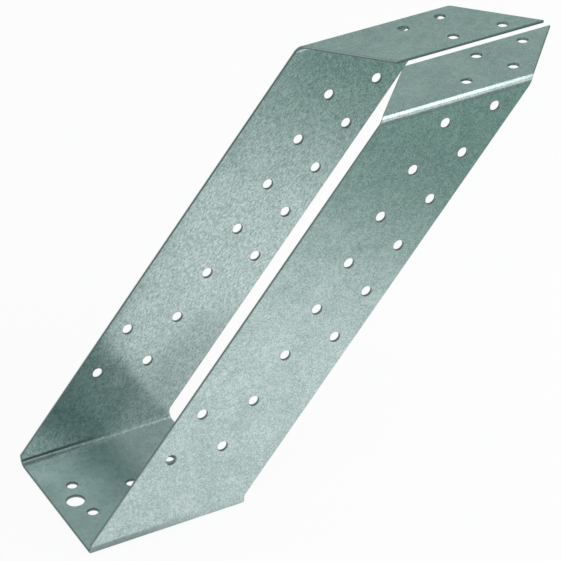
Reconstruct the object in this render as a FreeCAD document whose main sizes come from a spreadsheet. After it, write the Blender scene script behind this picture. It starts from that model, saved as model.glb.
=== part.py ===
import FreeCAD, Part
import os

import Sketcher

# Purlin connector: one strip of galvanised sheet, punched and folded round a timber purlin.
# A flat base carries the purlin, two side plates lean along it as they rise, and their tops are
# folded inwards into two flanges with a narrow slit between them.
# Origin: middle of the seat, which is the upper face of the base. X runs along the purlin,
# the way the plates lean, Y across it and Z up. All lengths are in millimetres.

NODE = "purlin_connector"

# Driving sizes: name, value and what it sets
SIZES = [
    ("clear_width", 76.5, "between the side plates, for a purlin 75 wide"),
    ("clear_height", 176.5, "between the seat and the flanges, for a purlin 175 high"),
    ("sheet", 1.5, "thickness of the sheet"),
    ("bend_radius", 2.5, "inside radius of every fold"),
    ("strip_length", 76, "length of the base, and of the leaning strip, along the purlin"),
    ("slant_angle", 49, "degrees between the leaning edges and the seat"),
    ("stub_rise", 1.5, "upright part of the sides above the base folds, before the edges lean"),
    ("relief_radius", 3, "round in the inner corner behind the base"),
    ("slit", 5.5, "gap between the two flanges"),
    ("nail_hole", 5, "diameter of the nail holes"),
    ("nail_pitch", 25, "nail spacing up the leaning strip"),
    ("row_edge", 9.75, "outer nail rows, square from the leaning edges"),
    ("row_shift", 1.5, "middle nail row, level from the middle of the strip"),
    ("row_stagger", 1.5, "how much higher the outer rows sit, so that nails miss one grain line"),
    ("first_nail_height", 35, "lowest nail of the middle row, above the seat"),
    ("front_row_nails", 2, "nails in the front row of each plate, which stops low"),
    ("back_row_skip", 2, "pitches that the back row starts above the middle row"),
    ("top_margin", 2.5, "least height of plate above the centre of the highest nail, below the fold"),
    ("flange_nail_edge", 7.5, "flange nails of the middle row, from the fold and from the slit"),
    ("odd_nail_forward", 5, "outer back nail of the far flange, forward of its mirror place"),
    ("odd_nail_outward", 3, "the same nail, outward of its mirror place"),
    ("bolt_hole", 8.5, "diameter of the bolt holes in the base"),
    ("bolt_edge", 10, "bolt holes, from the front and back edges of the base"),
    ("front_nail_edge", 13.5, "pair of nails beside the front bolt hole, from the front edge"),
    ("front_nail_spread", 23, "distance between the nails of the front pair"),
    ("back_nail_edge", 15, "pair of nails beside the back bolt hole, from the back edge"),
    ("back_nail_spread", 17, "distance between the nails of the back pair"),
]

# Values worked out from the driving sizes
LEAN = "(1 / tan(Sizes.slant_angle))"
HALF_LENGTH = "(Sizes.strip_length / 2)"
HALF_INSIDE = "(Sizes.clear_width / 2)"
HALF_OUTSIDE = f"({HALF_INSIDE} + Sizes.sheet)"
OUTER_RADIUS = "(Sizes.bend_radius + Sizes.sheet)"
MIDDLE_RADIUS = "(Sizes.bend_radius + Sizes.sheet / 2)"
SLANT_START = "(Sizes.bend_radius + Sizes.stub_rise)"
PLATE_TOP = "(Sizes.clear_height - Sizes.bend_radius)"
PLATE_RUN = f"({LEAN} * ({PLATE_TOP} - {SLANT_START}))"
BEND_RUN = f"({LEAN} * {MIDDLE_RADIUS} * pi / 2)"
FLANGE_ROOT = f"({HALF_INSIDE} - Sizes.bend_radius)"
FLANGE_START = f"({PLATE_RUN} + {BEND_RUN})"
FLANGE_WIDTH = f"({FLANGE_ROOT} - Sizes.slit / 2)"
FLANGE_RUN = f"({LEAN} * {FLANGE_WIDTH})"
OUTER_ROW = f"({HALF_LENGTH} - Sizes.row_edge / sin(Sizes.slant_angle))"
PITCH_RISE = "(Sizes.nail_pitch * sin(Sizes.slant_angle))"

SIDES = 2
QUARTER_TURN = 0.25
POSITION_TOLERANCE = 1e-4
CUT_MARGIN = 4

doc = FreeCAD.newDocument("PurlinConnector")
sheet = doc.addObject("Spreadsheet::Sheet", "Sizes")
for row, (alias, value, note) in enumerate(SIZES, start=1):
    sheet.set(f"A{row}", note)
    sheet.set(f"B{row}", str(value))
    sheet.setAlias(f"B{row}", alias)
doc.recompute()

body = doc.addObject("PartDesign::Body", "Connector")
body.Label = NODE


def value_of(expression):
    """Number that an expression on the sheet gives now."""
    return float(sheet.evalExpression(expression))


def plane(role):
    """One of the body's own origin planes."""
    return next(item for item in body.Origin.OriginFeatures if item.Role == role)


def new_sketch(name, role, offset=None):
    """Sketch on an origin plane, moved along its own x, y or z axis by expressions."""
    sketch = body.newObject("Sketcher::SketchObject", name)
    sketch.AttachmentSupport = [(plane(role), "")]
    sketch.MapMode = "FlatFace"
    for axis, expression in (offset or {}).items():
        sketch.setExpression(f"AttachmentOffset.Base.{axis}", expression)
    return sketch


def bind(sketch, name, constraint, expression):
    """Add a named constraint whose value follows the sheet."""
    index = sketch.addConstraint(constraint)
    sketch.renameConstraint(index, name)
    sketch.setExpression(f"Constraints.{name}", expression)


def bind_point(sketch, name, geometry, position, place):
    """Hold a point of the sketch at (across, up) from the sketch's origin."""
    for axis, expression in zip("XY", place):
        kind = f"Distance{axis}"
        constraint = Sketcher.Constraint(kind, -1, 1, geometry, position, value_of(expression))
        bind(sketch, f"{name}_{axis.lower()}", constraint, expression)


def draw_outline(sketch, corners):
    """Closed outline of straight edges through named corners."""
    points = [FreeCAD.Vector(value_of(across), value_of(up), 0) for across, up in corners.values()]
    following = points[1:] + points[:1]
    lines = [sketch.addGeometry(Part.LineSegment(*ends), False) for ends in zip(points, following)]
    for line, next_line in zip(lines, lines[1:] + lines[:1]):
        sketch.addConstraint(Sketcher.Constraint("Coincident", line, 2, next_line, 1))
    for line, (name, place) in zip(lines, corners.items()):
        bind_point(sketch, name, line, 1, place)


def draw_hole(sketch, name, diameter, place):
    """Circle of a bound diameter at a bound place."""
    centre = FreeCAD.Vector(value_of(place[0]), value_of(place[1]), 0)
    circle = Part.Circle(centre, FreeCAD.Vector(0, 0, 1), value_of(diameter) / 2)
    geometry = sketch.addGeometry(circle, False)
    bind_point(sketch, name, geometry, 3, place)
    constraint = Sketcher.Constraint("Diameter", geometry, value_of(diameter))
    bind(sketch, f"{name}_diameter", constraint, diameter)


def draw_slant(sketch):
    """Construction line along the lean of the strip, which a row of nails follows."""
    end = FreeCAD.Vector(value_of("cos(Sizes.slant_angle)"), value_of("sin(Sizes.slant_angle)"), 0)
    line = sketch.addGeometry(Part.LineSegment(FreeCAD.Vector(0, 0, 0), end), True)
    sketch.addConstraint(Sketcher.Constraint("Coincident", line, 1, -1, 1))
    bind_point(sketch, "slant", line, 2, ("cos(Sizes.slant_angle)", "sin(Sizes.slant_angle)"))


def pad(name, sketch, length, symmetric=False):
    """Raise a sketch into the body."""
    feature = body.newObject("PartDesign::Pad", name)
    feature.Profile = sketch
    feature.SideType = "Symmetric" if symmetric else "One side"
    feature.setExpression("Length", length)
    doc.recompute()
    return feature


def punch(name, sketch, length):
    """Cut a sketch's holes to both sides of its plane, and see that sheet was taken away."""
    before = body.Shape.Volume
    feature = body.newObject("PartDesign::Pocket", name)
    feature.Profile = sketch
    feature.SideType = "Symmetric"
    feature.setExpression("Length", length)
    doc.recompute()
    if body.Shape.Volume >= before:
        raise RuntimeError(f"{name} cut nothing")
    return feature


def round_edges(name, base, radius, place):
    """Fillet the straight edge that lies at a place on each side of the strip.

    The place gives two of x along the purlin, y out from its middle and z up."""

    def miss(point):
        found = {"x": point.x, "y": abs(point.y), "z": point.z}
        return max(abs(found[axis] - value_of(expression)) for axis, expression in place.items())

    chosen = []
    for index, edge in enumerate(base.Shape.Edges, start=1):
        points = [vertex.Point for vertex in edge.Vertexes] + [edge.CenterOfMass]
        if max(miss(point) for point in points) < POSITION_TOLERANCE:
            chosen.append(f"Edge{index}")
    if len(chosen) != SIDES:
        raise RuntimeError(f"{name} found {len(chosen)} edges and not {SIDES}")
    feature = body.newObject("PartDesign::Fillet", name)
    feature.Base = (base, chosen)
    feature.setExpression("Radius", radius)
    doc.recompute()
    return feature


def nail_row(name, offset, height, count):
    """Row of nail holes through both plates, up the lean from its lowest nail."""
    sketch = new_sketch(f"{name}Nail", "XZ_Plane")
    draw_slant(sketch)
    draw_hole(sketch, "nail", "Sizes.nail_hole", (f"{LEAN} * ({height} - {SLANT_START}) + {offset}", height))
    first = punch(f"{name}FirstNail", sketch, f"Sizes.clear_width + {CUT_MARGIN} * Sizes.sheet")
    row = body.newObject("PartDesign::LinearPattern", f"{name}Row")
    row.Originals = [first]
    row.Direction = (sketch, ["Axis0"])
    row.Mode = "Spacing"
    row.setExpression("Offset", "Sizes.nail_pitch")
    row.setExpression("Occurrences", count)
    body.Tip = row
    doc.recompute()


def nails_to_top(height):
    """How many nails fit from a height up to the top of the plate."""
    return f"floor(({PLATE_TOP} - Sizes.top_margin - {height}) / {PITCH_RISE}) + 1"


# Base with an upright stub at each side, then its two folds
section = new_sketch("BaseSection", "YZ_Plane")
draw_outline(section, {
    "left_foot": (f"-{HALF_OUTSIDE}", "-Sizes.sheet"),
    "right_foot": (HALF_OUTSIDE, "-Sizes.sheet"),
    "right_rim": (HALF_OUTSIDE, SLANT_START),
    "right_lip": (HALF_INSIDE, SLANT_START),
    "right_seat": (HALF_INSIDE, "0"),
    "left_seat": (f"-{HALF_INSIDE}", "0"),
    "left_lip": (f"-{HALF_INSIDE}", SLANT_START),
    "left_rim": (f"-{HALF_OUTSIDE}", SLANT_START),
})
base = pad("Base", section, "Sizes.strip_length", symmetric=True)
inner_folds = round_edges("InnerFolds", base, "Sizes.bend_radius", {"y": HALF_INSIDE, "z": "0"})
round_edges("OuterFolds", inner_folds, OUTER_RADIUS, {"y": HALF_OUTSIDE, "z": "-Sizes.sheet"})

# Near side plate: a leaning strip
plate_sketch = new_sketch("PlateOutline", "XZ_Plane", {"z": HALF_INSIDE})
draw_outline(plate_sketch, {
    "front_low": (f"-{HALF_LENGTH}", SLANT_START),
    "back_low": (HALF_LENGTH, SLANT_START),
    "back_high": (f"{HALF_LENGTH} + {PLATE_RUN}", PLATE_TOP),
    "front_high": (f"{PLATE_RUN} - {HALF_LENGTH}", PLATE_TOP),
})
plate = pad("Plate", plate_sketch, "Sizes.sheet")

# Top fold: a quarter turn about the fold's axis. The lean goes on round it, so the cut ends wind
# along the axis as a straight strip's edges do when it is folded askew.
fold_sketch = new_sketch("TopFoldSection", "XY_Plane", {"y": f"-{FLANGE_ROOT}", "z": PLATE_TOP})
draw_outline(fold_sketch, {
    "front_outside": (f"{PLATE_RUN} - {HALF_LENGTH}", f"-{OUTER_RADIUS}"),
    "back_outside": (f"{PLATE_RUN} + {HALF_LENGTH}", f"-{OUTER_RADIUS}"),
    "back_inside": (f"{PLATE_RUN} + {HALF_LENGTH}", "-Sizes.bend_radius"),
    "front_inside": (f"{PLATE_RUN} - {HALF_LENGTH}", "-Sizes.bend_radius"),
})
top_fold = body.newObject("PartDesign::AdditiveHelix", "TopFold")
top_fold.Profile = fold_sketch
top_fold.ReferenceAxis = (fold_sketch, ["H_Axis"])
top_fold.Mode = "height-turns-angle"
top_fold.setExpression("Height", BEND_RUN)
top_fold.Turns = QUARTER_TURN
top_fold.LeftHanded = True
doc.recompute()

# Flange over the purlin, with the same lean across it
flange_sketch = new_sketch("FlangeOutline", "XY_Plane", {"z": "Sizes.clear_height"})
draw_outline(flange_sketch, {
    "front_root": (f"{FLANGE_START} - {HALF_LENGTH}", f"-{FLANGE_ROOT}"),
    "back_root": (f"{FLANGE_START} + {HALF_LENGTH}", f"-{FLANGE_ROOT}"),
    "back_lip": (f"{FLANGE_START} + {FLANGE_RUN} + {HALF_LENGTH}", "-Sizes.slit / 2"),
    "front_lip": (f"{FLANGE_START} + {FLANGE_RUN} - {HALF_LENGTH}", "-Sizes.slit / 2"),
})
flange = pad("Flange", flange_sketch, "Sizes.sheet")

# Far side as the mirror image, then the round in the corner behind the base on both sides
far_side = body.newObject("PartDesign::Mirrored", "FarSide")
far_side.Originals = [plate, top_fold, flange]
far_side.MirrorPlane = (plane("XZ_Plane"), [""])
body.Tip = far_side
doc.recompute()
round_edges("CornerRelief", far_side, "Sizes.relief_radius",
            {"x": HALF_LENGTH, "z": SLANT_START})

# Nail rows in the plates
MIDDLE_HEIGHT = "Sizes.first_nail_height"
FRONT_HEIGHT = "(Sizes.first_nail_height + Sizes.row_stagger)"
BACK_HEIGHT = f"({FRONT_HEIGHT} + Sizes.back_row_skip * {PITCH_RISE})"
nail_row("Middle", "Sizes.row_shift", MIDDLE_HEIGHT, nails_to_top(MIDDLE_HEIGHT))
nail_row("Front", f"(-{OUTER_ROW})", FRONT_HEIGHT, "Sizes.front_row_nails")
nail_row("Back", OUTER_ROW, BACK_HEIGHT, nails_to_top(BACK_HEIGHT))


def flange_place(offset, reach, side):
    """Place of a flange nail: its row's level offset, and its reach across from the fold."""
    return f"{FLANGE_START} + {LEAN} * {reach} + {offset}", f"{side} * ({FLANGE_ROOT} - {reach})"


# Flange nails: an outer and an inner one in the middle row and in the back row of each flange.
# The outer back nail of the far flange sits off the pattern.
NEAR, FAR = -1, 1
OUTER_REACH = "Sizes.flange_nail_edge"
INNER_REACH = f"({FLANGE_WIDTH} - Sizes.flange_nail_edge)"
ODD_REACH = f"({OUTER_REACH} + Sizes.row_stagger - Sizes.odd_nail_outward)"
ODD_OFFSET = f"({OUTER_ROW} + {LEAN} * Sizes.odd_nail_outward - Sizes.odd_nail_forward)"
flange_nails = new_sketch("FlangeNails", "XY_Plane", {"z": "Sizes.clear_height + Sizes.sheet / 2"})
for side_name, side in (("near", NEAR), ("far", FAR)):
    for step_name, reach in (("outer", OUTER_REACH), ("inner", INNER_REACH)):
        back_place = flange_place(OUTER_ROW, f"({reach} + Sizes.row_stagger)", side)
        if side == FAR and reach == OUTER_REACH:
            back_place = flange_place(ODD_OFFSET, ODD_REACH, side)
        middle_place = flange_place("Sizes.row_shift", reach, side)
        for row_name, place in (("middle", middle_place), ("back", back_place)):
            draw_hole(flange_nails, f"{side_name}_{step_name}_{row_name}", "Sizes.nail_hole", place)
punch("FlangeNailHoles", flange_nails, f"{CUT_MARGIN} * Sizes.sheet")

# Base holes: a nail in the middle, and at the front and back edges a bolt hole between two nails
FRONT, BACK = -1, 1
base_holes = new_sketch("BaseHoles", "XY_Plane", {"z": "-Sizes.sheet / 2"})
draw_hole(base_holes, "middle_nail", "Sizes.nail_hole", ("0", "0"))
for end_name, end in (("front", FRONT), ("back", BACK)):
    draw_hole(base_holes, f"{end_name}_bolt", "Sizes.bolt_hole",
              (f"{end} * ({HALF_LENGTH} - Sizes.bolt_edge)", "0"))
    for side_name, side in (("near", NEAR), ("far", FAR)):
        draw_hole(base_holes, f"{end_name}_{side_name}_nail", "Sizes.nail_hole",
                  (f"{end} * ({HALF_LENGTH} - Sizes.{end_name}_nail_edge)",
                   f"{side} * Sizes.{end_name}_nail_spread / 2"))
punch("BaseHolesCut", base_holes, f"{CUT_MARGIN} * Sizes.sheet")

# Every object has to be sound before the solid is written
doc.recompute()
for item in doc.Objects:
    if "Invalid" in item.State or "Error" in item.State:
        raise RuntimeError(f"{item.Name} failed: {item.State}")
shape = body.Shape
if shape.isNull() or not shape.isValid() or len(shape.Solids) != 1:
    raise RuntimeError("the connector is not one sound solid")
os.makedirs("parts", exist_ok=True)
shape.exportStep(f"parts/{body.Label}.step")
box = shape.BoundBox
print(f"{body.Label}: volume {shape.Volume:.1f}, faces {len(shape.Faces)}, "
      f"box {box.XMin:.2f} {box.YMin:.2f} {box.ZMin:.2f} to {box.XMax:.2f} {box.YMax:.2f} {box.ZMax:.2f}")
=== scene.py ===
from math import cos, pi, radians, sin, tan

import bpy
from bpy.props import FloatProperty, FloatVectorProperty, PointerProperty
from bpy.types import Operator, Panel, PropertyGroup
from mathutils import Matrix, Vector


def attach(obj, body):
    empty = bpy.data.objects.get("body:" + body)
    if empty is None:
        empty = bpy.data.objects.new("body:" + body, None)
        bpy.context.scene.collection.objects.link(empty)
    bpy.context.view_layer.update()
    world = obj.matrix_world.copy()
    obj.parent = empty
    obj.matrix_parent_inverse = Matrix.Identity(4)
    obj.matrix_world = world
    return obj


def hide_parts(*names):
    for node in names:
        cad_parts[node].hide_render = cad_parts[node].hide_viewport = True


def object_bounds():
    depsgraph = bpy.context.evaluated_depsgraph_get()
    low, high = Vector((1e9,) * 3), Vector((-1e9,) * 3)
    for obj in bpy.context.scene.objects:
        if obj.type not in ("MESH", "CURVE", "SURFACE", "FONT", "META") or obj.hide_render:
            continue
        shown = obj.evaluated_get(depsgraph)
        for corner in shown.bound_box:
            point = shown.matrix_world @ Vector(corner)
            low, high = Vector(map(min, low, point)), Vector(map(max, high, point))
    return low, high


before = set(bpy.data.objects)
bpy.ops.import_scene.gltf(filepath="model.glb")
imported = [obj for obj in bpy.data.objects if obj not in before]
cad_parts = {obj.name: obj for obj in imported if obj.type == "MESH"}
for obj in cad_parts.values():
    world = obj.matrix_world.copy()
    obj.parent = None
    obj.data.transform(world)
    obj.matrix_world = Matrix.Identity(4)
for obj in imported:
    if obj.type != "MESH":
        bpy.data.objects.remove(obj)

bl_info = {
    "name": "Purlin Connector",
    "version": (1, 0, 0),
    "blender": (4, 5, 0),
    "location": "View3D > Sidebar > Connector",
    "description": "A folded nail plate of galvanised sheet for a timber purlin, on a pale studio floor",
    "category": "Object",
}

MM = 0.001
NODE = "purlin_connector"
BODY = "root"
CAD_LOW, CAD_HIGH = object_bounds()
SEAT_MIDDLE = Vector((0, 0, 0))
ALONG = Vector((1, 0, 0))
OUTSIDE = Vector((0, -1, 0))

# Mesh work
MERGE_DISTANCE = 0.001 * MM
FLAT_ANGLE = radians(0.5)
SKIN_ANGLE = radians(40)
SMOOTH_ANGLE = radians(35)
ROUND_STEPS = 2
FACING = 0.99
COAT_SLOT, EDGE_SLOT = 0, 1

# Depth in the sheet, from the skin that the punch met to the skin where it came out
DEPTH_NAME = "depth"
PUNCHED_DEPTH, TORN_DEPTH = 0.0, 1.0

# Sockets of a Mix node that blends colours
MIX_SHARE, MIX_FIRST, MIX_SECOND, MIX_RESULT = 0, 6, 7, 2

# Noise: the middle of its range, and how much detail it can have
NOISE_MIDDLE = 0.5
PLAIN_DETAIL, USUAL_DETAIL, RICH_DETAIL = 1.0, 2.0, 3.0

# The leaning strip: its turn from upright, and the scale on its own axes that draws streaks out along it
STRIP_TURN = radians(41)
STREAK_DRAW = (1.0, 0.2, 0.2)

# Across the sleeve, in millimetres from its middle: where a change sets in and where it is full
INSIDE_TO_OUTSIDE = (38.5, 39.5)
TO_FAR_PLATE = (34.0, 37.0)
TO_FAR_SIDE = (10.0, 36.0)

# Height above the seat, in the same way
ONTO_SEAT = (-0.5, 0.0)
BLOOM_TOP = (35.0, 60.0)
TO_TOP = (100.0, 165.0)

# Along the sleeve, along it from the leaning front edge, and across it less the height, in the same way
CREASE_FADE = (-25.0, 20.0)
BLOOM_START = (33.0, 54.0)
INTO_CREASE = (35.7, 36.6)

# How far each pattern shifts the zinc's tone, and what the far plate's inside adds
MIDDLE_TONE = 0.5
FACET_TONE = 0.3
MOTTLE_TONE = 0.45
CLOUD_TONE = 0.6
GRAIN_TONE, FAR_GRAIN_TONE = 3.0, 1.2
STREAK_TONE, FAR_STREAK_TONE = 0.6, 2.6

# Shade in the crease of the base folds: its share, and its colour as a share of the deep zinc
CREASE_SHADE = 0.65
CREASE_DARKNESS = 0.5

# Patches of wear: size in millimetres, then the noise at which they set in and at which they are full
STAINS = (40.0, 0.50, 0.65)
FLECKS = (0.8, 0.58, 0.66)
SCRATCHED = (34.0, 0.52, 0.60)

# Scratches: their gap in millimetres, and the square of the noise's swing at which a hairline ends
SCRATCH_GAP = 26.0
HAIRLINE_END = 0.00002

# Marks along the strip: size in millimetres, and the swing of the noise from which to which they set in
MARK_SIZE = 0.7
MARK_SPAN = (0.04, 0.16)

# Shares of stain and of painted shade (extra flecks that darken the far side towards its top), and of bare
# steel in each kind of wear
STAIN_SHARE, FAR_TOP_SHADE = 0.6, 0.6
FLECK_WEAR, SCRATCH_WEAR, MARK_WEAR = 0.45, 0.3, 0.6

# Sheen and relief of the zinc: changes of roughness, and heights in millimetres
FACET_ROUGHNESS = 0.06
CLOUD_GLOSS = 0.12
GRAIN_HEIGHT = 0.015
WAVE_HEIGHT = 0.08

# Sheared steel: grain in millimetres, where in the depth the torn band sets in, and what changes there
EDGE_GRAIN_SIZE = 0.35
TORN_RAGGEDNESS = 0.3
TORN_START = (0.35, 0.50)
SMOOTH_SHADE, TORN_SHADE = 1.25, 0.8
EDGE_ROUGHNESS, TORN_ROUGHNESS, EDGE_GRAIN_ROUGHNESS = 0.35, 0.2, 0.1
TORN_HEIGHT = 0.03

# Width of the floor in metres
FLOOR_SIZE = 10

# Parts of the room by direction: sines of the angle above the floor, and the way from front to back
UPPER_WALL = (0.40, 0.55)
CEILING = (0.68, 0.85)
FRONT_TO_BACK = (-0.5, 0.5)


class ConnectorFinish(PropertyGroup):
    """Sizes and colours of the zinc and the sheared edges."""

    pale_zinc: FloatVectorProperty(
        name="Pale zinc", description="Colour of the zinc where it is bright",
        subtype="COLOR", size=3, default=(0.722, 0.821, 0.811))
    deep_zinc: FloatVectorProperty(
        name="Deep zinc", description="Colour of the zinc where it is dull",
        subtype="COLOR", size=3, default=(0.389, 0.503, 0.497))
    bare_steel: FloatVectorProperty(
        name="Bare steel", description="Colour of the sheared edges, the hole walls and the wear",
        subtype="COLOR", size=3, default=(0.30, 0.365, 0.355))
    grain_size: FloatProperty(
        name="Grain size", description="Width of the grain in the zinc",
        unit="LENGTH", default=0.5 * MM)
    streak_size: FloatProperty(
        name="Streak size", description="Width of the streaks along the strip",
        unit="LENGTH", default=0.45 * MM)
    spangle_size: FloatProperty(
        name="Spangle size", description="Width of the zinc crystals",
        unit="LENGTH", default=1.6 * MM)
    mottle_size: FloatProperty(
        name="Mottle size", description="Width of the mottled patches in the zinc",
        unit="LENGTH", default=4.5 * MM)
    cloud_size: FloatProperty(
        name="Cloud size", description="Width of the soft clouds in the zinc",
        unit="LENGTH", default=14 * MM)
    wave_size: FloatProperty(
        name="Wave size", description="Width of the slight waves in the sheet",
        unit="LENGTH", default=55 * MM)
    roughness: FloatProperty(
        name="Roughness", description="How dull the zinc is", subtype="FACTOR", default=0.21)
    bright_share: FloatProperty(
        name="Bright share", description="How much of the zinc is bright metal and not matt",
        subtype="FACTOR", default=0.955)
    bloom: FloatProperty(
        name="Bloom", description="How much of the bright share is lost low down and deep inside",
        subtype="FACTOR", default=0.607)
    rollover: FloatProperty(
        name="Rollover", description="Rounding of the edges on the side that was punched",
        unit="LENGTH", default=0.25 * MM)
    breakout: FloatProperty(
        name="Break-out", description="Width of the torn rim where the punch came out",
        unit="LENGTH", default=0.25 * MM)


class ConnectorStage(PropertyGroup):
    """Floor, room, lamps and camera."""

    floor_colour: FloatVectorProperty(
        name="Floor", description="Colour of the floor and the backdrop",
        subtype="COLOR", size=3, default=(1.0, 1.0, 1.0))
    far_floor_colour: FloatVectorProperty(
        name="Far floor", description="Colour that the metal mirrors from the floor further off",
        subtype="COLOR", size=3, default=(0.28, 0.389, 0.354))
    back_room_colour: FloatVectorProperty(
        name="Back of the room", description="Colour that the metal mirrors low behind the connector",
        subtype="COLOR", size=3, default=(0.359, 0.439, 0.407))
    upper_back_colour: FloatVectorProperty(
        name="Upper back of the room",
        description="Colour that the metal mirrors high behind the connector",
        subtype="COLOR", size=3, default=(0.37, 0.455, 0.435))
    front_room_colour: FloatVectorProperty(
        name="Front of the room", description="Colour that the metal mirrors low on the camera's side",
        subtype="COLOR", size=3, default=(0.247, 0.301, 0.286))
    upper_front_colour: FloatVectorProperty(
        name="Upper front of the room",
        description="Colour that the metal mirrors high on the camera's side",
        subtype="COLOR", size=3, default=(0.95, 0.96, 0.95))
    ceiling_colour: FloatVectorProperty(
        name="Ceiling", description="Colour that the metal mirrors overhead",
        subtype="COLOR", size=3, default=(0.287, 0.35, 0.332))
    floor_glow: FloatProperty(
        name="Floor glow", description="Share of the floor's whiteness that no shadow reaches",
        subtype="FACTOR", default=0.92)
    mirrored_glow: FloatProperty(
        name="Mirrored glow", description="Share of the mirrored floor's whiteness that no shadow reaches",
        subtype="FACTOR", default=0.409)
    contact_reach: FloatProperty(
        name="Contact reach", description="How far the metal's contact shade reaches on the mirrored floor",
        unit="LENGTH", default=10 * MM)
    pale_direction: FloatVectorProperty(
        name="Pale direction", description="From the seat, the way in which the mirrored floor fades",
        subtype="DIRECTION", size=3, default=(0.90, -0.44, 0))
    pale_reach: FloatProperty(
        name="Pale reach", description="From the seat to the middle of the mirrored floor's fade",
        unit="LENGTH", default=0.26)
    pale_fade: FloatProperty(
        name="Pale fade", description="Width of the mirrored floor's fade",
        unit="LENGTH", default=0.19)
    softbox_level: FloatProperty(
        name="Softbox level", description="Brightness of the softbox's face", default=1.75)
    softbox_size: FloatVectorProperty(
        name="Softbox size", description="Width of the softbox along the fold, and its length across it",
        unit="LENGTH", size=2, default=(0.13, 0.24))
    softbox_aim: FloatVectorProperty(
        name="Softbox aim", description="Middle of the near top fold, which the softbox faces",
        subtype="TRANSLATION", size=3, default=(0.155, CAD_LOW.y, CAD_HIGH.z))
    softbox_direction: FloatVectorProperty(
        name="Softbox direction", description="From the near top fold towards the softbox",
        subtype="DIRECTION", size=3, default=(0.38, -0.10, 0.92))
    softbox_distance: FloatProperty(
        name="Softbox distance", description="From the near top fold to the softbox",
        unit="LENGTH", default=0.35)
    side_level: FloatProperty(
        name="Side light level", description="Brightness of the side light's face", default=1.65)
    side_size: FloatVectorProperty(
        name="Side light size", description="Width and length of the side light",
        unit="LENGTH", size=2, default=(1.1, 1.1))
    side_direction: FloatVectorProperty(
        name="Side light direction", description="From the seat towards the side light",
        subtype="DIRECTION", size=3, default=(0.71, -0.32, 0.63))
    side_distance: FloatProperty(
        name="Side light distance", description="From the seat to the side light",
        unit="LENGTH", default=1.2)
    aim_offset: FloatVectorProperty(
        name="Aim offset", description="From the connector's middle to the point that the camera aims at",
        subtype="TRANSLATION", size=3, default=(-10.06 * MM, 1.24 * MM, -5.19 * MM))
    camera_distance: FloatProperty(
        name="Camera distance", description="From the camera to the point it aims at",
        unit="LENGTH", default=1.401)
    azimuth: FloatProperty(
        name="Azimuth", description="How far the camera is turned from +Y towards +X",
        subtype="ANGLE", default=radians(26.33))
    elevation: FloatProperty(
        name="Elevation", description="How far the camera looks down",
        subtype="ANGLE", default=radians(32.80))
    roll: FloatProperty(
        name="Roll", description="Turn of the camera about its own line of sight",
        subtype="ANGLE", default=radians(-2.05))
    lens: FloatProperty(
        name="Lens", description="Focal length", subtype="DISTANCE_CAMERA", default=198.54)


class Value:
    """A socket on its way through a material, so that sums can be written as sums."""

    def __init__(self, shader, socket):
        self.shader = shader
        self.socket = socket

    def other(self, output):
        """Another output of the same node."""
        return Value(self.shader, self.socket.node.outputs[output])

    def math(self, operation, first, second):
        """A Math node on two values."""
        return self.shader.node("Math", {"operation": operation}, {0: first, 1: second})

    def __add__(self, other):
        return self.math("ADD", self, other)

    def __radd__(self, other):
        return self.math("ADD", other, self)

    def __sub__(self, other):
        return self.math("SUBTRACT", self, other)

    def __rsub__(self, other):
        return self.math("SUBTRACT", other, self)

    def __mul__(self, other):
        return self.math("MULTIPLY", self, other)

    def __rmul__(self, other):
        return self.math("MULTIPLY", other, self)


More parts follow.
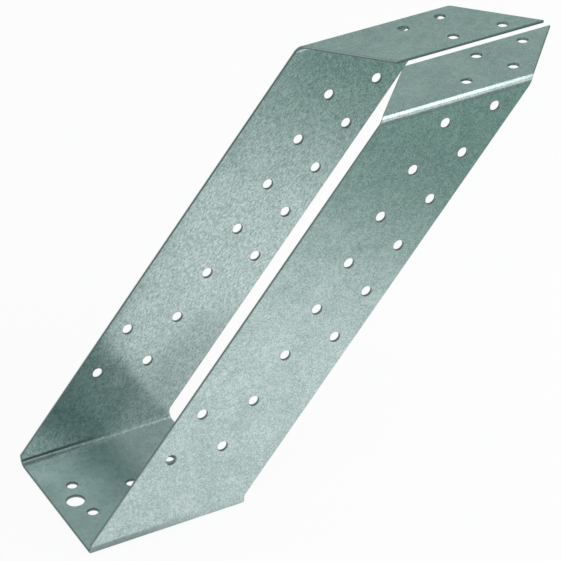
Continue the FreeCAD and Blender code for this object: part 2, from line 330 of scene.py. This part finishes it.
class Shader:
    """A material, or the world, and the nodes in it."""

    def __init__(self, owner):
        self.owner = owner
        owner.use_nodes = True
        self.tree = owner.node_tree
        self.tree.nodes.clear()

    def node(self, kind, settings=None, inputs=None, output=0):
        """Add a node: its settings first, then its sockets' values or links."""
        made = self.tree.nodes.new(f"ShaderNode{kind}")
        for name, setting in (settings or {}).items():
            setattr(made, name, setting)
        for name, value in (inputs or {}).items():
            if isinstance(value, Value):
                self.tree.links.new(value.socket, made.inputs[name])
            else:
                made.inputs[name].default_value = value
        return Value(self, made.outputs[output]) if made.outputs else made

    def position(self):
        """Place on the object, in millimetres."""
        place = self.node("TexCoord", output="Object")
        return self.node("VectorMath", {"operation": "SCALE"}, {"Vector": place, "Scale": 1 / MM})

    def rise(self, value, low, high):
        """0 below low, 1 above high and a smooth rise between."""
        return self.node("MapRange", {"interpolation_type": "SMOOTHSTEP"},
                         {"Value": value, "From Min": low, "From Max": high})

    def noise(self, place, size, detail=USUAL_DETAIL):
        """Soft noise from 0 to 1 whose lumps are about that many millimetres wide."""
        return self.node("TexNoise", {}, {"Vector": place, "Scale": 1 / size, "Detail": detail})

    def swing(self, place, size, detail=USUAL_DETAIL):
        """The same noise about 0."""
        return self.noise(place, size, detail) - NOISE_MIDDLE

    def patches(self, place, size, start, full):
        """1 in patches where that noise is above full, and 0 where it is below start."""
        return self.rise(self.noise(place, size), start, full)

    def streaks(self, place, size):
        """Noise about 0 that is drawn out along the leaning strip."""
        turned = self.node("VectorRotate", {"rotation_type": "Y_AXIS"},
                           {"Vector": place, "Angle": -STRIP_TURN})
        drawn = self.node("VectorMath", {"operation": "MULTIPLY"}, {0: turned, 1: STREAK_DRAW})
        return self.swing(drawn, size)

    def hairline(self, place, gap):
        """1 along thin wandering lines about that many millimetres apart."""
        swing = self.swing(place, gap, PLAIN_DETAIL)
        return 1.0 - self.rise(swing * swing, 0.0, HAIRLINE_END)

    def blend(self, share, first, second):
        """Colour between two colours."""
        return self.node("Mix", {"data_type": "RGBA"},
                         {MIX_SHARE: share, MIX_FIRST: first, MIX_SECOND: second}, MIX_RESULT)

    def mix(self, share, first, second):
        """Surface between two surfaces."""
        return self.node("MixShader", {}, {0: share, 1: first, 2: second})

    def relief(self, height):
        """Normal of a surface with that height, in millimetres."""
        return self.node("Bump", {}, {"Height": height, "Distance": MM})

    def show(self, surface, output="OutputMaterial"):
        """Send a surface to the output, and give back what it belongs to."""
        self.node(output, {}, {"Surface": surface})
        return self.owner


def colour(values):
    """RGBA of a colour."""
    return (*values, 1.0)


def crease_shade(shader, along, side, height):
    """Share of shade in the inner corner of the base folds, which fades away from the front."""
    corner = shader.rise(side - height, *INTO_CREASE) * shader.rise(height, *ONTO_SEAT)
    return CREASE_SHADE * corner * (1.0 - shader.rise(along, *CREASE_FADE))


def zinc_wear(shader, place, far_plate, far_top_shade):
    """Share of bare steel: flecks in stained places and, as painted shade, towards the far side's top,
    hairline scratches and the far plate's marks.
    """
    # Flecks gather in random stains, and as painted shade towards the top of the far side
    stain_and_shade = STAIN_SHARE * shader.patches(place, *STAINS) + FAR_TOP_SHADE * far_top_shade
    fleck = shader.patches(place, *FLECKS) * stain_and_shade
    scratch = shader.hairline(place, SCRATCH_GAP) * shader.patches(place, *SCRATCHED)
    mark = shader.rise(shader.streaks(place, MARK_SIZE), *MARK_SPAN) * far_plate
    return FLECK_WEAR * fleck + SCRATCH_WEAR * scratch + MARK_WEAR * mark


def deep_bloom(shader, along, height, inner_skin):
    """1 on the inner skin where it is low down and deep behind the leaning front edge."""
    from_front = along - CAD_LOW.x / MM - tan(STRIP_TURN) * height
    return shader.rise(from_front, *BLOOM_START) * inner_skin * (1.0 - shader.rise(height, *BLOOM_TOP))


def galvanised_coat(finish):
    """Zinc coat: crystals, grain and clouds, worn in places and more matt deep inside the sleeve, with
    painted shade in the creases of the base folds and towards the top of the far side.
    """
    shader = Shader(bpy.data.materials.new("galvanised_coat"))
    place = shader.position()
    along = shader.node("SeparateXYZ", {}, {"Vector": place}, "X")
    across, height = along.other("Y"), along.other("Z")
    side = shader.node("Math", {"operation": "ABSOLUTE"}, {0: across})
    inner_skin = 1.0 - shader.rise(side, *INSIDE_TO_OUTSIDE)
    far_plate = shader.rise(across, *TO_FAR_PLATE) * inner_skin
    # Painted shade: the far side's top, which gets more dark flecks
    far_top_shade = shader.rise(across, *TO_FAR_SIDE) * shader.rise(height, *TO_TOP)

    crystal = shader.node("TexVoronoi", {}, {"Vector": place, "Scale": MM / finish.spangle_size}, "Color")
    facet = shader.node("SeparateColor", {}, {"Color": crystal}, "Red") - NOISE_MIDDLE
    grain = shader.swing(place, finish.grain_size / MM, RICH_DETAIL)
    mottle = shader.swing(place, finish.mottle_size / MM, RICH_DETAIL)
    clouds = shader.swing(place, finish.cloud_size / MM, RICH_DETAIL)
    streak = shader.streaks(place, finish.streak_size / MM)
    wave = shader.noise(place, finish.wave_size / MM, PLAIN_DETAIL)

    tone = (MIDDLE_TONE + FACET_TONE * facet + MOTTLE_TONE * mottle + CLOUD_TONE * clouds
            + (GRAIN_TONE + FAR_GRAIN_TONE * far_plate) * grain
            + (STREAK_TONE + FAR_STREAK_TONE * far_plate) * streak)
    zinc = shader.blend(tone, colour(finish.deep_zinc), colour(finish.pale_zinc))
    creased = shader.blend(crease_shade(shader, along, side, height), zinc,
                           colour(Vector(finish.deep_zinc) * CREASE_DARKNESS))
    worn = shader.blend(zinc_wear(shader, place, far_plate, far_top_shade), creased, colour(finish.bare_steel))
    return shader.show(shader.node("BsdfPrincipled", {}, {
        "Base Color": worn,
        "Metallic": finish.bright_share - finish.bloom * deep_bloom(shader, along, height, inner_skin),
        "Roughness": finish.roughness + FACET_ROUGHNESS * facet - CLOUD_GLOSS * clouds,
        "Normal": shader.relief(GRAIN_HEIGHT * grain + WAVE_HEIGHT * wave),
    }))


def sheared_edge(finish):
    """Bare steel where the sheet was sheared or punched: a smooth band, then a torn one."""
    shader = Shader(bpy.data.materials.new("sheared_edge"))
    depth = shader.node("Attribute", {"attribute_name": DEPTH_NAME}, {}, "Fac")
    grain = shader.swing(shader.position(), EDGE_GRAIN_SIZE, RICH_DETAIL)
    torn = shader.rise(depth + TORN_RAGGEDNESS * grain, *TORN_START)
    steel = Vector(finish.bare_steel)
    return shader.show(shader.node("BsdfPrincipled", {}, {
        "Base Color": shader.blend(torn, colour(steel * SMOOTH_SHADE), colour(steel * TORN_SHADE)),
        "Metallic": 1.0,
        "Roughness": EDGE_ROUGHNESS + TORN_ROUGHNESS * torn + EDGE_GRAIN_ROUGHNESS * grain,
        "Normal": shader.relief(TORN_HEIGHT * torn * grain),
    }))


def select_only(piece):
    """Leave one object selected and active."""
    bpy.ops.object.select_all(action="DESELECT")
    piece.select_set(True)
    bpy.context.view_layer.objects.active = piece


def near_plate_face(mesh, normal):
    """Index of the near plate's largest face that looks a given way."""
    facing = [face for face in mesh.polygons if face.normal.dot(normal) > FACING and face.center.y < 0]
    return max(facing, key=lambda face: face.area).index


def select_skin(piece, normal):
    """In edit mode, select the outer or the inner skin: all that the folds join to one plate's face."""
    bpy.ops.mesh.select_mode(type="FACE")
    bpy.ops.mesh.select_all(action="DESELECT")
    bpy.ops.object.mode_set(mode="OBJECT")
    piece.data.polygons[near_plate_face(piece.data, normal)].select = True
    bpy.ops.object.mode_set(mode="EDIT")
    bpy.ops.mesh.faces_select_linked_flat(sharpness=SKIN_ANGLE)


def merge_flats():
    """In edit mode, join the loose triangles and clear the lines that cross flat places."""
    bpy.ops.mesh.select_all(action="SELECT")
    bpy.ops.mesh.remove_doubles(threshold=MERGE_DISTANCE)
    bpy.ops.mesh.dissolve_limited(angle_limit=FLAT_ANGLE)


def dress_skins(piece, finish):
    """In edit mode, coat both skins, leave the walls between them bare and round the edges."""
    bpy.ops.mesh.select_all(action="SELECT")
    piece.active_material_index = EDGE_SLOT
    bpy.ops.object.material_slot_assign()
    piece.active_material_index = COAT_SLOT
    for normal, depth, width in ((OUTSIDE, PUNCHED_DEPTH, finish.rollover),
                                 (-OUTSIDE, TORN_DEPTH, finish.breakout)):
        select_skin(piece, normal)
        bpy.ops.object.material_slot_assign()
        bpy.ops.mesh.attribute_set(value_float=depth)
        bpy.ops.mesh.region_to_loop()
        bpy.ops.mesh.bevel(offset=width, segments=ROUND_STEPS, affect="EDGES", material=EDGE_SLOT)


def shade_evenly(piece):
    """Smooth shading over the folds and rounded edges, with the flat faces kept flat."""
    bpy.ops.object.shade_smooth_by_angle(angle=SMOOTH_ANGLE)
    normals = piece.modifiers.new("even_shading", "WEIGHTED_NORMAL")
    normals.keep_sharp = True
    bpy.ops.object.modifier_apply(modifier=normals.name)


def connector_sheet(finish):
    """The folded sheet: a copy of the frame's mesh with rounded edges and bare sheared walls."""
    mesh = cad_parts[NODE].data.copy()
    piece = bpy.data.objects.new("connector_sheet", mesh)
    bpy.context.scene.collection.objects.link(piece)
    select_only(piece)
    mesh.materials.clear()
    mesh.materials.append(galvanised_coat(finish))
    mesh.materials.append(sheared_edge(finish))
    mesh.attributes.active = mesh.attributes.new(DEPTH_NAME, "FLOAT", "POINT")
    bpy.ops.object.mode_set(mode="EDIT")
    merge_flats()
    dress_skins(piece, finish)
    bpy.ops.object.mode_set(mode="OBJECT")
    shade_evenly(piece)
    return piece


def floor_tone(shader, tone, glow_share):
    """Floor of one colour, partly lit and partly glowing by itself."""
    lit = shader.node("BsdfDiffuse", {}, {"Color": colour(tone)})
    glow = shader.node("Emission", {}, {"Color": colour(tone)})
    return shader.mix(glow_share, lit, glow)


def pale_floor(stage):
    """Plain pale floor, which the metal mirrors as fading to a deeper tone further off."""
    shader = Shader(bpy.data.materials.new("pale_floor"))
    ray = shader.node("LightPath", output="Is Camera Ray")
    contact = shader.node("AmbientOcclusion", {}, {"Distance": stage.contact_reach}, "AO")
    mirrored = (ray.other("Is Glossy Ray") + ray.other("Is Transmission Ray")) * contact * contact
    glow_share = stage.floor_glow * ray + stage.mirrored_glow * mirrored

    place = shader.node("TexCoord", output="Object")
    fade_way = Vector(stage.pale_direction).normalized()
    distance = shader.node("VectorMath", {"operation": "DOT_PRODUCT"}, {0: place, 1: fade_way}, "Value")
    half_fade = stage.pale_fade / 2
    faded = shader.rise(distance, stage.pale_reach - half_fade, stage.pale_reach + half_fade)
    return shader.show(shader.mix(
        faded * (1.0 - ray),
        floor_tone(shader, stage.floor_colour, glow_share),
        floor_tone(shader, stage.far_floor_colour, glow_share)))


def lay_floor(stage):
    """Floor under the base."""
    bpy.ops.mesh.primitive_plane_add(size=FLOOR_SIZE, location=(0, 0, CAD_LOW.z))
    floor = bpy.context.object
    floor.name = "floor"
    floor.data.materials.append(pale_floor(stage))


def paint_room(stage):
    """Room that the metal mirrors, while the camera sees a plain backdrop of the floor's colour."""
    world = bpy.data.worlds.new("room")
    bpy.context.scene.world = world
    shader = Shader(world)
    direction = shader.node("TexCoord", output="Generated")
    across = shader.node("SeparateXYZ", {}, {"Vector": direction}, "Y")
    height = across.other("Z")
    above = shader.rise(height, *UPPER_WALL)
    front = shader.blend(above, colour(stage.front_room_colour), colour(stage.upper_front_colour))
    back = shader.blend(above, colour(stage.back_room_colour), colour(stage.upper_back_colour))
    walls = shader.blend(shader.rise(across, *FRONT_TO_BACK), front, back)
    room = shader.blend(shader.rise(height, *CEILING), walls, colour(stage.ceiling_colour))
    ray = shader.node("LightPath", output="Is Camera Ray")
    seen = shader.blend(ray, room, colour(stage.floor_colour))
    shader.show(shader.node("Background", {}, {"Color": seen}), "OutputWorld")


def hang_softbox(name, aim, direction, distance, size, level):
    """Rectangular lamp that faces a point, its width along the connector, unseen by the camera."""
    towards = Vector(direction).normalized()
    length_way = towards.cross(ALONG).normalized()
    turn = Matrix((length_way.cross(towards), length_way, towards)).transposed()
    place = Vector(aim) + towards * distance
    bpy.ops.object.light_add(type="AREA", location=place, rotation=turn.to_euler())
    softbox = bpy.context.object
    softbox.name = name
    width, length = size
    softbox.data.shape = "RECTANGLE"
    softbox.data.size = width
    softbox.data.size_y = length
    softbox.data.energy = level * pi * width * length
    softbox.visible_camera = False
    return softbox


def light_room(stage):
    """The room, a softbox that the near top fold mirrors, and a side light that no metal mirrors."""
    paint_room(stage)
    hang_softbox("softbox", stage.softbox_aim, stage.softbox_direction, stage.softbox_distance,
                 stage.softbox_size, stage.softbox_level)
    side_light = hang_softbox("side_light", SEAT_MIDDLE, stage.side_direction, stage.side_distance,
                              stage.side_size, stage.side_level)
    side_light.visible_glossy = False


def aim_camera(stage):
    """Camera at the photograph's viewing angle."""
    aim = (CAD_LOW + CAD_HIGH) / 2 + Vector(stage.aim_offset)
    level = Vector((sin(stage.azimuth), cos(stage.azimuth), 0))
    sight = level * cos(stage.elevation) - Vector((0, 0, sin(stage.elevation)))
    turn = Matrix.Rotation(-stage.roll, 3, sight) @ sight.to_track_quat("-Z", "Y").to_matrix()
    bpy.ops.object.camera_add(location=aim - sight * stage.camera_distance, rotation=turn.to_euler())
    camera = bpy.context.object
    camera.data.lens = stage.lens
    bpy.context.scene.camera = camera


class CONNECTOR_OT_sheet(Operator):
    """Make the folded sheet of the connector"""

    bl_idname = "connector.sheet"
    bl_label = "Folded sheet"

    def execute(self, context):
        piece = connector_sheet(context.scene.connector_finish)
        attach(piece, BODY)
        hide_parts(NODE)
        return {"FINISHED"}


class CONNECTOR_OT_stage(Operator):
    """Lay the floor, light the room and aim the camera"""

    bl_idname = "connector.stage"
    bl_label = "Studio stage"

    def execute(self, context):
        stage = context.scene.connector_stage
        lay_floor(stage)
        light_room(stage)
        aim_camera(stage)
        context.scene.view_settings.view_transform = "Standard"
        return {"FINISHED"}


class CONNECTOR_PT_panel(Panel):
    """Sizes, colours and steps of the connector"""

    bl_idname = "CONNECTOR_PT_panel"
    bl_label = "Purlin connector"
    bl_space_type = "VIEW_3D"
    bl_region_type = "UI"
    bl_category = "Connector"

    def draw(self, context):
        for settings, step in ((context.scene.connector_finish, CONNECTOR_OT_sheet),
                               (context.scene.connector_stage, CONNECTOR_OT_stage)):
            for name in settings.bl_rna.properties.keys():
                if name not in ("rna_type", "name"):
                    self.layout.prop(settings, name)
            self.layout.operator(step.bl_idname)


CLASSES = (ConnectorFinish, ConnectorStage, CONNECTOR_OT_sheet, CONNECTOR_OT_stage, CONNECTOR_PT_panel)


def register():
    for item in CLASSES:
        bpy.utils.register_class(item)
    bpy.types.Scene.connector_finish = PointerProperty(type=ConnectorFinish)
    bpy.types.Scene.connector_stage = PointerProperty(type=ConnectorStage)


def unregister():
    del bpy.types.Scene.connector_stage
    del bpy.types.Scene.connector_finish
    for item in reversed(CLASSES):
        bpy.utils.unregister_class(item)


def main():
    register()
    bpy.ops.connector.sheet()
    bpy.ops.connector.stage()


if __name__ == "__main__":
    main()
